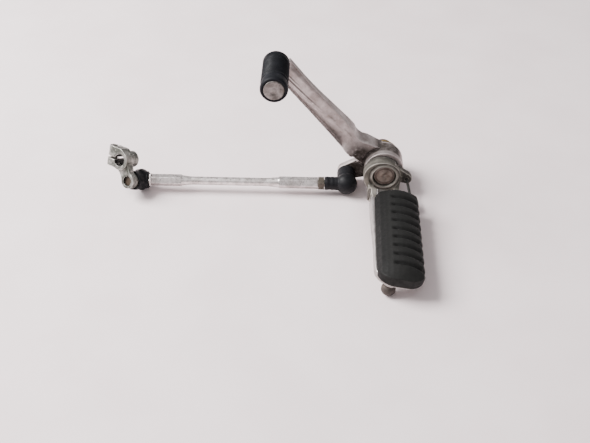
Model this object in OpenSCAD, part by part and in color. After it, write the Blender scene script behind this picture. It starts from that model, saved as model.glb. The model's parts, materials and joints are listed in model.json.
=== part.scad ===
// Footrest-mounted gear shift lever with tie rod, shift arm and folding footrest.
// +Z is up and the footrest points along -Y. The origin is the centre of the
// pivot shaft's inboard end face, which seats on the frame.

/* [Pivot] */
// Length of the lever's hub along the pivot axis
hub_len = 20.5; // [19:0.5:22]
// Outer diameter of the lever's hub
hub_d = 32; // [30:1:34]
// Diameter of the shaft that the lever turns on
shaft_d = 17; // [16:0.5:18]
// Core diameter of the frame bolt's thread in the shaft
frame_thread_d = 8.5; // [6.8:0.1:10.2]

/* [Toe arm] */
// Distance from the pivot to the toe peg
toe_reach = 130; // [115:1:145]
// Angle of the toe arm, counted up from the right
toe_angle = 132.5; // [128:0.5:136]
// How far the toe arm sweeps outboard along its length
toe_sweep = 5.3; // [4:0.1:7]
// Outer diameter of the toe rubber
toe_rubber_d = 21; // [19:0.5:24]
// Length of the toe rubber
toe_rubber_len = 42; // [36:1:46]

/* [Tie rod] */
// Distance from the pivot to the lever's ball
short_reach = 32; // [30:0.5:34]
// Angle of the lever's ball, counted up from the right
short_angle = 197.5; // [195:0.5:200]
// Distance between the two ball centres
rod_reach = 170; // [156:1:186]
// Diameter of the rod's round middle
rod_d = 6.8; // [6.4:0.1:8]
// Distance from the toe arm's root out to the rod's centre plane
rod_outboard = 19.8; // [19:0.1:21]
// Outer diameter of the dust boots
boot_d = 17.6; // [17.4:0.1:18.4]

/* [Shift arm] */
// Distance between the spline bore and the ball stud
arm_reach = 18; // [17:0.5:22]
// Thickness of the clamp end along the spline
clamp_t = 10; // [9.5:0.5:12]
// Diameter of the spline bore at its lands
spline_d = 10; // [9:0.5:11]
// Turn of the front ball stud away from straight outboard
stud_turn = 32; // [26:1:34]
// Upward tilt of the front ball stud
stud_rise = 26; // [20:1:30]

/* [Footrest] */
// Roll of the footrest about its own length
peg_roll = 10; // [6:1:16]
// Turn of the footrest away from straight outboard
peg_yaw = 1.1; // [0:0.1:3]
// Sideways offset of the footrest's centre line from the pivot
peg_offset = 9.7; // [9.2:0.1:10.2]
// Length of the footrest's tray
tray_len = 98.5; // [94:0.5:104]
// Width of the footrest's tray
tray_w = 37.4; // [36:0.2:39]
// Height of the rubber above the tray's rim
pad_h = 11; // [9:0.5:13]
// Distance of the folding pin outboard of the toe arm's root
fold_out = 40; // [39.5:0.5:41]

/* [Hidden] */
$fn = 48;
eps = 0.01;

// Pieces stacked on the shaft, inboard of the lever's hub
seal_t = 2;
gap = 0.3;
washer_t = 1.6;
ring_t = 1.2;
shaft_tip = 8.2;
hub_front = -12.5;
hub_back = hub_front + hub_len;
hub_step = hub_back - 4.5;
hub_back_d = 28;
arm_plane = hub_back + seal_t + gap + washer_t + ring_t + shaft_tip;
washer_y = hub_back + seal_t + gap;
ring_y = washer_y + washer_t;
shaft_end = arm_plane;
bush_wall = 1.75;
run_clear = 0.05;
bush_od = shaft_d + 2 * run_clear + 2 * bush_wall;

// Footrest holder
holder_d = 25.4;
boss_d = 29.6;
boss_shift = [-2.3, -1.2];
holder_back = hub_front - 0.75;
holder_len = 9.6;
holder_front = holder_back - holder_len;
shaft_neck_d = 14;
shaft_head_d = 17.2;
shaft_head_t = 2.3;
head_sink = 1.4;
lug_at = [18.6, -4.8];

// Toe arm, along s from the pivot and across m towards the lower left
toe_eye_d = 13.6;
toe_pin_d = 9;
toe_cap_d = 15.8;
toe_cap_t = 3;
arm_front = -4.7;
arm_back = 8;
arm_back_toe = -4;
arm_s0 = 24;
arm_s1 = 112;

// Ball joints
ball_d = 9;
ball_clear = 0.05;
race_d = 11;
race_deep = 4.75;
race_top = 4.2;
housing_d = 14.8;
boot_wall = 1.3;
sleeve_d = 15.6;
stud_neck_d = 5.6;
stud_shank_d = 8;
short_front = -3.5;
short_back = 1.7;
m6 = 6;
nut_af = 10;
ball_x = short_reach * cos(short_angle);
ball_z = short_reach * sin(short_angle);
front_ball_x = ball_x - rod_reach;
rod_end_gap = 23.5;
front_end_gap = 9.1;
nut_t = 4.9;
jam_t = 1.5;
rod_x1 = ball_x - rod_end_gap;
rod_x0 = front_ball_x + front_end_gap;
nut_from = front_end_gap - jam_t - 0.1;
rod_wide = 8.6;
rod_hex_len = 32;
rod_flat_len = 25;

// Shift arm, with its own z along the ball stud
plate_t = 6.4;
stud_out = 17.5;
arm_turn = 127;
slit_turn = 181;
slit_w = 1.9;
clamp_r = 8;
ear_half = 9.4;
bolt_at = 9.4;
bolt_d = 5;
bolt_head_d = 8.5;
bolt_head_t = 4.4;
ear_trim_r = 13.4;
collar_back = 4;
collar_r = 6.8;
ear_drop = 7;
serrations = 24;

// Footrest, in a frame rolled with it: x across, y along the pivot, z out of the tread
pin_d = 8;
pin_z = -7.5;
pin_tip_d = 7;
rim_z = -3;
tray_t = 5.5;
cheek_t = 2.6;
cheek_flare = 1.2;
cheek_len = 62;
tray_wall = 1.6;
tray_floor = 2.2;
tray_y = -46.5;
pad_gap = 0.15;
pad_over = 4.5;
rim_show = 1.2;
plate_gauge = 1.2;
crown_r = 28;
crown_x = 1.5;
shoulder_r = 2.6;
pad_w = tray_w - 2 * rim_show;
ear_x = [-10.6, 10.6];
ear_t = 4.5;
ear_d = 11.6;
tongue_x = [-5.8, 10.3];
coil_x = 15.4;
coil_r = 4.9;
wire_d = 2.4;
coils = 3;
coil_pitch = wire_d - 0.1;
push_len = 11;
push_rise = atan((coil_r + rim_z - tray_t - pin_z - wire_d / 2 - 0.2) / push_len);
washer_x = coil_x + coils * wire_d + 0.2;
split_x = washer_x + 2.4;
pin_end = split_x + 1.6;
feeler_r = 5.4;
feeler_at = [3.2, -140.5, -14.2];
bolt_y = [-70, -124];

// Puts the children at the middle of the lever's hub
module at_hub() {
    translate([0, -arm_plane, 0]) children();
}

// Puts the children in the footrest's rolled frame
module in_peg() {
    at_hub() rotate([0, peg_roll, 0]) rotate([0, 0, -peg_yaw]) children();
}

// Puts the children at the front ball, with z along the front ball stud
module at_front_ball() {
    at_hub() translate([front_ball_x, -rod_outboard, ball_z])
        rotate([90 - stud_rise, 0, -stud_turn]) children();
}

// A cylinder along Y from y0 to y1
module ycyl(d, y0, y1) {
    translate([0, y0, 0]) rotate([-90, 0, 0]) cylinder(d = d, h = y1 - y0);
}

// A cylinder along X from x0 to x1
module xcyl(d, x0, x1) {
    translate([x0, 0, 0]) rotate([0, 90, 0]) cylinder(d = d, h = x1 - x0);
}

// Extrudes a shape drawn in the XZ plane from y0 to y1
module in_xz(y0, y1) {
    translate([0, y1, 0]) rotate([90, 0, 0]) linear_extrude(y1 - y0) children();
}

// Extrudes a shape drawn in the YZ plane from x0 to x1
module in_yz(x0, x1) {
    translate([x0, 0, 0]) rotate([90, 0, 90]) linear_extrude(x1 - x0) children();
}

function arc(cx, cy, r, a0, a1, n) =
    [for (k = [0:n]) [cx + r * cos(a0 + (a1 - a0) * k / n), cy + r * sin(a0 + (a1 - a0) * k / n)]];
function ease(u) = let (v = min(1, max(0, u))) v * v * (3 - 2 * v);

// ---- Footrest holder ----

// Side outline of a clevis ear, across y and z of the rolled frame
module ear_outline() {
    translate([-fold_out, pin_z]) circle(d = ear_d);
    polygon([[holder_back, -14.2], [holder_front + 1, -15.2], [-fold_out - 1.5, pin_z - 5.6],
             [-fold_out + 5, pin_z - 1], [-fold_out + 2.4, pin_z + 5.2], [holder_front - 1.6, -10.2],
             [holder_front + 1, -8], [holder_back, -3]]);
}

module peg_holder() {
    color("#8f897c") difference() {
        union() {
            at_hub() ycyl(holder_d, holder_front, holder_back);
            at_hub() translate([boss_shift[0], 0, boss_shift[1]]) ycyl(boss_d, holder_front, holder_back);
            in_peg() in_xz(holder_back - 6, holder_back) polygon([
                [ear_x[0], 0], [ear_x[0], -10], [ear_x[0] + 4, -14], [ear_x[1] + 1, -13.4],
                [ear_x[1] + ear_t, -10], [ear_x[1] + ear_t, 1]]);
            in_peg() for (x = ear_x) in_yz(x, x + ear_t) ear_outline();
            at_hub() in_xz(holder_back - 5.6, holder_back) {
                translate(lug_at) circle(d = 8.6);
                polygon([[8, 8], [lug_at[0] + 2.6, lug_at[1] + 3.9], [lug_at[0] - 3, lug_at[1] - 3.6],
                         [8, -6]]);
            }
        }
        at_hub() {
            ycyl(shaft_neck_d, holder_front - 1, holder_back + 1);
            ycyl(shaft_head_d + 1.4, holder_front - 1, holder_front + head_sink + shaft_head_t);
            translate([lug_at[0], 0, lug_at[1]]) ycyl(3, holder_back - 7, holder_back + 1);
        }
        in_peg() translate([0, -fold_out, pin_z])
            xcyl(pin_d + 2 * run_clear, ear_x[0] - 1, ear_x[1] + ear_t + 1);
    }
}

module pivot_shaft() {
    head_back = holder_front + head_sink + shaft_head_t;
    color("#8a7462") at_hub() difference() {
        union() {
            ycyl(shaft_head_d, head_back - shaft_head_t, head_back);
            ycyl(shaft_neck_d, head_back - eps, holder_back);
            ycyl(shaft_d, holder_back, shaft_end);
        }
        translate([0, head_back - shaft_head_t - eps, 0]) rotate([-90, 0, 0])
            cylinder(d1 = 3.4, d2 = 0.4, h = 1.6);
        difference() {
            ycyl(shaft_d + 1, ring_y, ring_y + ring_t);
            ycyl(shaft_d - 1.6, ring_y - 1, ring_y + ring_t + 1);
        }
        ycyl(frame_thread_d, shaft_end - 14, shaft_end + 1);
    }
}

module thrust_washer() {
    color("#d8b23a") at_hub() difference() {
        ycyl(25.4, washer_y, washer_y + washer_t);
        ycyl(shaft_d + 0.2, washer_y - 1, washer_y + washer_t + 1);
    }
}

module snap_ring() {
    color("#3d3c3a") at_hub() difference() {
        ycyl(shaft_d + 3.6, ring_y, ring_y + ring_t);
        ycyl(shaft_d - 1.6, ring_y - 1, ring_y + ring_t + 1);
        translate([-3, ring_y - 1, -shaft_d]) cube([6, ring_t + 2, shaft_d - 2]);
    }
}

module footrest_pin() {
    color("#7d7468") in_peg() translate([0, -fold_out, pin_z]) difference() {
        union() {
            xcyl(pin_d, ear_x[0] - 0.5, ear_x[1] + ear_t + 0.1);
            xcyl(pin_tip_d, ear_x[1], pin_end);
            xcyl(9.6, ear_x[0] - 1.2, ear_x[0] - 0.05);
        }
        translate([split_x, 0, -6]) cylinder(d = 2.2, h = 12);
    }
}

module pin_washer() {
    color("#a39c90") in_peg() translate([0, -fold_out, pin_z]) difference() {
        xcyl(11, washer_x, washer_x + 1.2);
        xcyl(pin_tip_d + 0.3, washer_x - 1, washer_x + 2.2);
    }
}

// Split pin: eye below, shank through the cross hole and two legs bent aside on top
module split_pin() {
    color("#8b857b") in_peg() translate([split_x, -fold_out, pin_z]) {
        translate([0, 0, -5]) cylinder(d = 2, h = 10.2);
        translate([0, 0, -5.8]) rotate([0, 90, 0]) rotate_extrude() translate([1.3, 0]) circle(d = 1.2);
        for (side = [-1, 1])
            translate([0, 0, 4.9]) rotate([side * 66, 0, 0]) cylinder(d = 1, h = 2.6);
    }
}

// Torsion spring: the coil on the pin, a straight leg hooked through the lug, and a short
// leg under the footrest
module return_spring() {
    across = lug_at[0] * cos(peg_roll) - lug_at[1] * sin(peg_roll);
    lug_y = holder_back - 3;
    hook = [across * cos(peg_yaw) - lug_y * sin(peg_yaw),
            across * sin(peg_yaw) + lug_y * cos(peg_yaw),
            lug_at[0] * sin(peg_roll) + lug_at[1] * cos(peg_roll)];
    start = [coil_x + wire_d / 2 + coil_pitch, -fold_out, pin_z + coil_r];
    along = hook - start;
    lean = acos(along[2] / norm(along));
    turn = atan2(along[1], along[0]);
    color("#4a4640") in_peg() {
        translate([coil_x + wire_d / 2, -fold_out, pin_z]) for (k = [0:coils - 1])
            translate([k * coil_pitch, 0, 0]) rotate([0, 90, 0])
                rotate_extrude($fn = 24) translate([coil_r, 0]) circle(d = wire_d, $fn = 16);
        translate(start) rotate([0, lean, turn]) cylinder(d = wire_d, h = norm(along), $fn = 16);
        translate([coil_x + wire_d * 0.5, -fold_out, pin_z - coil_r]) rotate([90 - push_rise, 0, 0])
            cylinder(d = wire_d, h = push_len, $fn = 16);
    }
}

// ---- Footrest ----

// A rectangle across x0..x1 and y0..y1 with corner radius r0 at y0 and r1 at y1
module rounded(x0, x1, y0, y1, r0, r1) {
    translate([x0, y0 + r0]) square([x1 - x0, y1 - y0 - r0 - r1]);
    translate([x0 + r0, y0]) square([x1 - x0 - 2 * r0, r0 + 1]);
    translate([x0 + r1, y1 - r1 - 1]) square([x1 - x0 - 2 * r1, r1 + 1]);
    for (x = [x0 + r0, x1 - r0]) translate([x, y0 + r0]) circle(r = r0);
    for (x = [x0 + r1, x1 - r1]) translate([x, y1 - r1]) circle(r = r1);
}

module tray_plan(inset) {
    rounded(peg_offset - tray_w / 2 + inset, peg_offset + tray_w / 2 - inset,
            tray_y - tray_len + inset, tray_y - inset, 14 - inset, 4 - inset);
}

// Side outline of the tray's cheeks, deep at the pin and shallow towards the tip
module cheek_outline() {
    polygon([[tray_y - 0.6, rim_z - 0.4], [tray_y - 0.6, rim_z - 8.6], [tray_y - 14, rim_z - 10.2],
             [tray_y - cheek_len, rim_z - tray_t], [tray_y - cheek_len, rim_z - 0.4]]);
}

// Plan outline of both cheeks: the left one flares out towards the pin
module cheek_plan() {
    left = peg_offset - tray_w / 2;
    right = peg_offset + tray_w / 2;
    far = tray_y - 0.6;
    near = tray_y - cheek_len;
    polygon([[left - cheek_flare, far], [left + cheek_t, far], [left + cheek_t, near], [left, near]]);
    polygon([[right - cheek_t, far - 4], [right, far - 4], [right, near], [right - cheek_t, near]]);
}

module peg_bar() {
    tray_low = rim_z - tray_t;
    color("#b9b3ab") in_peg() difference() {
        union() {
            translate([0, 0, tray_low]) linear_extrude(tray_t) tray_plan(0);
            intersection() {
                in_yz(peg_offset - tray_w, peg_offset + tray_w) cheek_outline();
                translate([0, 0, -20]) linear_extrude(20) cheek_plan();
            }
            in_yz(tongue_x[0], tongue_x[1]) {
                translate([-fold_out, pin_z]) circle(d = 11.4);
                polygon([[-fold_out, pin_z - 5.4], [tray_y - 12, tray_low + 0.5],
                         [tray_y - 12, tray_low + 2], [tray_y - 1, rim_z - 0.5], [tray_y + 0.5, rim_z - 0.5],
                         [-fold_out, pin_z + 5.4]]);
            }
            translate([feeler_at[0], feeler_at[1], tray_low]) cylinder(d = 10.5, h = tray_t - 1);
        }
        difference() {
            translate([0, 0, tray_low + tray_floor]) linear_extrude(tray_t) tray_plan(tray_wall);
            translate([feeler_at[0], feeler_at[1], tray_low]) cylinder(d = 10.5, h = tray_t - 1.2);
        }
        translate([0, -fold_out, pin_z]) xcyl(pin_d + 2 * run_clear, tongue_x[0] - 1, tongue_x[1] + 1);
        for (y = bolt_y) translate([peg_offset, y, tray_low - 1]) cylinder(d = 6.6, h = tray_floor + 2);
        translate([feeler_at[0], feeler_at[1], tray_low - 3]) cylinder(d = m6, h = 12);
    }
}

module pad_plate() {
    color("#77726a") in_peg() difference() {
        translate([0, 0, rim_z - tray_t + tray_floor]) linear_extrude(plate_gauge) tray_plan(5);
        for (y = bolt_y) translate([peg_offset, y, rim_z - tray_t]) cylinder(d = m6, h = 9);
        translate([feeler_at[0], feeler_at[1], rim_z - tray_t]) cylinder(d = 11.5, h = 9);
    }
}

// Height of the rubber's crown above the rim, at x across from the middle of the pad
function crown(x) = pad_h - crown_r + sqrt(crown_r * crown_r - (x - crown_x) * (x - crown_x));

// Crowned cross-section of the rubber, across x and z of the footrest's frame
module pad_section(foot) {
    half = pad_w / 2;
    inner = half - shoulder_r;
    translate([peg_offset, rim_z]) polygon(concat(
        [[-half, foot], [half, foot], [half, crown(half) - shoulder_r]],
        [for (k = [4:-1:-4]) [inner * k / 4, crown(inner * k / 4)]],
        [[-half, crown(-half) - shoulder_r]]));
}

module peg_rubber() {
    foot = rim_z - tray_t + tray_floor + plate_gauge + 0.1;
    color("#2b2c2b") in_peg() intersection() {
        in_xz(tray_y - tray_len - pad_over, tray_y) pad_section(foot - rim_z);
        difference() {
            union() {
                translate([0, 0, foot]) linear_extrude(pad_h) tray_plan(tray_wall + pad_gap);
                translate([0, 0, rim_z + pad_gap]) linear_extrude(pad_h) tray_plan(rim_show);
                difference() {
                    translate([0, -pad_over, foot]) linear_extrude(pad_h + 3) tray_plan(rim_show);
                    translate([0, 0, foot - 1]) linear_extrude(rim_z + pad_gap - foot + 1)
                        tray_plan(-pad_gap);
                }
            }
            translate([feeler_at[0], feeler_at[1], foot - 1]) cylinder(d = 11.5, h = 4);
        }
    }
}

module pad_bolts() {
    tray_low = rim_z - tray_t;
    color("#8d867b") in_peg() for (y = bolt_y) translate([peg_offset, y, 0]) {
        translate([0, 0, tray_low - 3]) cylinder(d = 9, h = 3, $fn = 6);
        translate([0, 0, tray_low - 0.5]) cylinder(d = m6, h = tray_floor + 1.6);
    }
}

module bank_feeler() {
    color("#6d5a4b") in_peg() translate(feeler_at) {
        sphere(r = feeler_r);
        cylinder(d = 8, h = rim_z - tray_t - feeler_at[2]);
        cylinder(d = m6, h = rim_z - tray_t + 4 - feeler_at[2]);
    }
}

// ---- Lever ----

// Side outline of the toe arm, along s and across m
module arm_outline() {
    translate([toe_reach, 0]) circle(d = toe_eye_d);
    polygon(concat(
        [[toe_reach - 6, -8.6], [94, -6.3], [44, -3.6]],
        arc(34.4, -15, 13.4, 62, 128, 6),
        [[12, -9], [0, 0], [10, 12.4]],
        arc(28.5, 10.6, 5.6, 150, 62, 6),
        [[52.5, 13.3], [81, 10.6], [105, 8.8], [toe_reach - 4, 7.6]]));
}

// Plan outline of the toe arm: it sweeps outboard on the way to the toe
module arm_plan() {
    n = 10;
    polygon(concat(
        [for (k = [0:n]) [arm_s0 + (arm_s1 - arm_s0) * k / n, arm_front - toe_sweep * ease(k / n)]],
        [[toe_reach + 20, arm_front - toe_sweep], [toe_reach + 20, arm_back_toe]],
        [for (k = [n:-1:0])
            [arm_s0 + (arm_s1 - arm_s0) * k / n, arm_back + (arm_back_toe - arm_back) * ease(k / n)]],
        [[-4, arm_back], [-4, arm_front]]));
}

module lever() {
    color("#a89e98") at_hub() difference() {
        union() {
            ycyl(hub_d, hub_front, hub_step);
            translate([0, hub_step - eps, 0]) rotate([-90, 0, 0])
                cylinder(d1 = hub_d, d2 = hub_back_d, h = hub_back - hub_step + eps);
            rotate([0, -toe_angle, 0]) intersection() {
                in_xz(-30, 30) arm_outline();
                linear_extrude(80, center = true) arm_plan();
            }
            rotate([0, -short_angle, 0]) in_xz(short_front, short_back) {
                translate([short_reach, 0]) circle(d = 14.6);
                polygon([[0, -14], [short_reach, -7.3], [short_reach, 7.3], [0, 11]]);
            }
        }
        ycyl(bush_od, hub_front - 1, hub_back + 1);
        ycyl(25, hub_front - 1, hub_front + 1.5);
        rotate([0, -toe_angle, 0]) translate([toe_reach, 0, 0]) ycyl(toe_pin_d, -40, 20);
        rotate([0, -short_angle, 0]) translate([short_reach, 0, 0]) ycyl(stud_shank_d, -10, 20);
    }
}

module hub_bushes() {
    color("#b08d57") at_hub() for (y = [[hub_front + 1.6, -0.6], [0.6, hub_back]])
        difference() {
            ycyl(bush_od, y[0], y[1]);
            ycyl(shaft_d + 2 * run_clear, y[0] - 1, y[1] + 1);
        }
}

module outer_seal() {
    color("#26262a") at_hub() difference() {
        ycyl(25, hub_front - 0.3, hub_front + 1.5);
        ycyl(shaft_d + 2 * gap, hub_front - 1, hub_front + 2);
    }
}

module inner_seal() {
    color("#26262a") at_hub() difference() {
        ycyl(26.8, hub_back, hub_back + seal_t);
        ycyl(shaft_d + 2 * gap, hub_back - 1, hub_back + seal_t + 1);
    }
}

module at_toe() {
    at_hub() rotate([0, -toe_angle, 0]) translate([toe_reach, 0, 0]) children();
}

module toe_pin() {
    toe_front = arm_front - toe_sweep;
    color("#a8a29b") at_toe() {
        ycyl(toe_pin_d, toe_front - toe_rubber_len, arm_back_toe + 0.6);
        ycyl(toe_cap_d, toe_front - toe_rubber_len - 0.5, toe_front - toe_rubber_len + toe_cap_t);
    }
}

module toe_rubber() {
    toe_front = arm_front - toe_sweep;
    color("#2c2f36") at_toe() difference() {
        ycyl(toe_rubber_d, toe_front - toe_rubber_len, toe_front);
        ycyl(toe_pin_d, toe_front - toe_rubber_len - 1, toe_front + 1);
        ycyl(toe_cap_d, toe_front - toe_rubber_len - 1, toe_front - toe_rubber_len + toe_cap_t);
    }
}

// ---- Ball joints and tie rod ----

module at_rear_ball() {
    at_hub() translate([ball_x, -rod_outboard, ball_z]) children();
}

module rear_ball_stud() {
    reach = rod_outboard + short_front;
    color("#9a948b") at_rear_ball() {
        sphere(d = ball_d);
        ycyl(stud_neck_d, 0, reach);
        ycyl(11.5, reach - 2.4, reach);
        ycyl(stud_shank_d, reach - 1, rod_outboard + short_back + 0.8);
    }
}

// Rod-end housing with its socket open along +Z and its shank along +X
module housing(shank_to, open_angle) {
    difference() {
        union() {
            intersection() {
                sphere(d = housing_d);
                translate([0, 0, -7.2]) cylinder(d = housing_d + 2, h = 12.6);
            }
            xcyl(m6, 4, shank_to);
        }
        race_block();
        mouth(open_angle);
    }
}

module race_block() {
    translate([0, 0, -race_deep]) cylinder(d = race_d, h = race_deep + race_top);
}

// Cone that leaves the ball stud room to tilt
module mouth(open_angle) {
    cylinder(r1 = 0, r2 = 12 * tan(open_angle), h = 12);
}

module race(open_angle) {
    difference() {
        race_block();
        sphere(d = ball_d + 2 * ball_clear);
        mouth(open_angle);
    }
}

module rear_socket() {
    at_rear_ball() rotate([-90, 0, 0]) rotate(180) children();
}

module front_socket() {
    at_hub() translate([front_ball_x, -rod_outboard, ball_z]) rotate([90 - stud_rise, 0, 0]) children();
}

module rear_rod_end() {
    color("#a19a90") rear_socket() housing(rod_end_gap + 12, 38);
}

module front_rod_end() {
    color("#b3ada4") difference() {
        front_socket() housing(front_end_gap + 14, 45);
        neck_room();
    }
}

// Room for the tilted neck of the front ball stud
module neck_room() {
    at_front_ball() cylinder(d = stud_neck_d + 1, h = 14);
}

module rear_ball_race() {
    color("#d9d4c4") rear_socket() race(38);
}

module front_ball_race() {
    color("#d9d4c4") difference() {
        front_socket() race(45);
        neck_room();
    }
}

module on_rod() {
    at_hub() translate([0, -rod_outboard, ball_z]) children();
}

module tie_rod() {
    color("#cfc9c4") on_rod() difference() {
        union() {
            xcyl(rod_d, rod_x0 + 4, rod_x1 - 4);
            rotate([30, 0, 0]) translate([rod_x1 - rod_hex_len, 0, 0]) rotate([0, 90, 0])
                cylinder(d = rod_wide / cos(30), h = rod_hex_len, $fn = 6);
            rotate([30, 0, 0]) translate([rod_x0, 0, 0]) rotate([0, 90, 0])
                cylinder(d = rod_wide / cos(30), h = rod_flat_len, $fn = 6);
            translate([rod_x1 - rod_hex_len - 10, 0, 0]) rotate([0, 90, 0])
                cylinder(d1 = rod_d, d2 = rod_wide, h = 10 + eps);
            translate([rod_x0 + rod_flat_len - eps, 0, 0]) rotate([0, 90, 0])
                cylinder(d1 = rod_wide, d2 = rod_d, h = 8);
        }
        xcyl(m6, rod_x0 - 1, rod_x0 + 20);
        xcyl(m6, rod_x1 - 20, rod_x1 + 1);
    }
}

module rod_nut(x, t) {
    on_rod() difference() {
        translate([x, 0, 0]) rotate([0, 90, 0]) cylinder(d = nut_af / cos(30), h = t, $fn = 6);
        xcyl(m6, x - 1, x + t + 1);
    }
}

module rear_lock_nut() {
    color("#7b6c52") rod_nut(rod_x1 + 0.2, nut_t);
}

module front_lock_nut() {
    color("#b7b1a9") rod_nut(front_ball_x + nut_from, jam_t);
}

// Dust boot: round over the housing, a neck over the shank and a collar round the stud
module boot(neck_to, neck_d, collar_to, collar_d) {
    difference() {
        union() {
            sphere(d = boot_d);
            xcyl(neck_d, 6, neck_to);
            cylinder(d = collar_d, h = collar_to);
        }
        sphere(d = boot_d - 2 * boot_wall);
        xcyl(neck_d - 2 * boot_wall, 0, neck_to + 1);
        cylinder(d = collar_d - 2 * boot_wall, h = collar_to + 1);
    }
}

module rear_boot() {
    color("#1f2024") rear_socket() boot(18.2, 11, 15.6, 15.4);
}

module front_boot() {
    color("#1f2024") difference() {
        at_front_ball() difference() {
            union() {
                sphere(d = boot_d);
                cylinder(d = sleeve_d, h = stud_out - plate_t - 0.4);
            }
            sphere(d = boot_d - 2 * boot_wall);
            cylinder(d = sleeve_d - 2 * boot_wall, h = stud_out);
        }
        front_socket() xcyl(12 - 2 * boot_wall, 0, 12);
    }
}

// ---- Shift arm ----

module at_arm() {
    at_front_ball() translate([0, 0, stud_out - plate_t]) children();
}

module serrated_bore() {
    circle(d = spline_d);
    for (k = [0:serrations - 1]) rotate(k * 360 / serrations)
        polygon([[spline_d / 2 - 0.6, -0.5], [spline_d / 2 + 0.45, 0], [spline_d / 2 - 0.6, 0.5]]);
}

// The clamp's two ears: round about the pinch bolt and sloped along the upper front edge
module clamp_ears() {
    rotate(slit_turn) difference() {
        union() {
            translate([0, -ear_half, 0]) cube([bolt_at, ear_half + ear_drop, clamp_t]);
            linear_extrude(clamp_t) polygon([[0.1, -ear_half], [-5.6, -5.7], [0.1, 0]]);
            translate([bolt_at, ear_drop, clamp_t / 2]) rotate([90, 0, 0])
                cylinder(d = clamp_t, h = ear_half + ear_drop);
        }
        translate([-20, -ear_half - 3.4, clamp_t]) rotate([40, 0, 0]) cube([40, 8, 8]);
        difference() {
            translate([5, 1, -1]) cube([20, 20, clamp_t + 2]);
            translate([0, 0, -2]) cylinder(r = ear_trim_r, h = clamp_t + 4);
        }
    }
}

module shift_arm() {
    clamp_z = (plate_t - clamp_t) / 2;
    color("#a6a29b") at_arm() difference() {
        union() {
            cylinder(d = 12.4, h = plate_t);
            linear_extrude(plate_t) rotate(arm_turn) difference() {
                polygon([[0, -6], [6, -4.6], [arm_reach, -6.4], [arm_reach, 6.4], [6, 4.6], [0, 6]]);
                translate([arm_reach, 0]) circle(r = spline_d / 2 + 1.5);
            }
            rotate(arm_turn) translate([arm_reach, 0, clamp_z]) rotate(-arm_turn) difference() {
                union() {
                    cylinder(r = clamp_r, h = clamp_t);
                    translate([0, 0, -collar_back]) cylinder(r = collar_r, h = collar_back + 1);
                    clamp_ears();
                }
                translate([0, 0, -collar_back - 1]) linear_extrude(clamp_t + collar_back + 2) {
                    serrated_bore();
                    rotate(slit_turn) translate([0, -slit_w / 2]) square([bolt_at + clamp_t, slit_w]);
                }
            }
        }
        translate([0, 0, -1]) cylinder(d = stud_shank_d, h = plate_t + 2);
        pinch_line() {
            translate([0, 0, -ear_drop - 2]) cylinder(d = bolt_d + 0.4, h = ear_half + ear_drop + 4);
            translate([0, 0, -ear_drop - 1]) cylinder(d = bolt_head_d + 0.4, h = bolt_head_t + 1);
        }
    }
}

// Puts the children on the pinch bolt's axis, with z along the bolt
module pinch_line() {
    rotate(arm_turn) translate([arm_reach, 0, plate_t / 2]) rotate(slit_turn - arm_turn)
        translate([bolt_at, 0, 0]) rotate([90, 0, 0]) children();
}

module front_ball_stud() {
    color("#8f8a82") at_front_ball() {
        sphere(d = ball_d);
        cylinder(d = stud_neck_d, h = stud_out - plate_t);
        translate([0, 0, stud_out - plate_t - 2.2]) cylinder(d = 11, h = 2.2);
        translate([0, 0, stud_out - plate_t - 1]) cylinder(d = stud_shank_d, h = plate_t - 1);
    }
}

module pinch_bolt() {
    color("#5f5a52") at_arm() pinch_line() difference() {
        union() {
            translate([0, 0, -ear_drop]) cylinder(d = bolt_head_d, h = bolt_head_t);
            translate([0, 0, -ear_drop + 1]) cylinder(d = bolt_d, h = ear_half + ear_drop - 4);
        }
        translate([0, 0, -ear_drop - 1]) cylinder(d = 4 / cos(30), h = 3.5, $fn = 6);
    }
}

peg_holder();
pivot_shaft();
thrust_washer();
snap_ring();
footrest_pin();
pin_washer();
split_pin();
return_spring();
peg_bar();
pad_plate();
peg_rubber();
pad_bolts();
bank_feeler();
lever();
hub_bushes();
outer_seal();
inner_seal();
toe_pin();
toe_rubber();
rear_ball_stud();
tie_rod();
rear_rod_end();
front_rod_end();
rear_ball_race();
front_ball_race();
rear_lock_nut();
front_lock_nut();
rear_boot();
front_boot();
shift_arm();
front_ball_stud();
pinch_bolt();
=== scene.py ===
import json
import math

import bmesh
import bpy
import numpy as np
from mathutils import Matrix, Vector, noise

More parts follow.
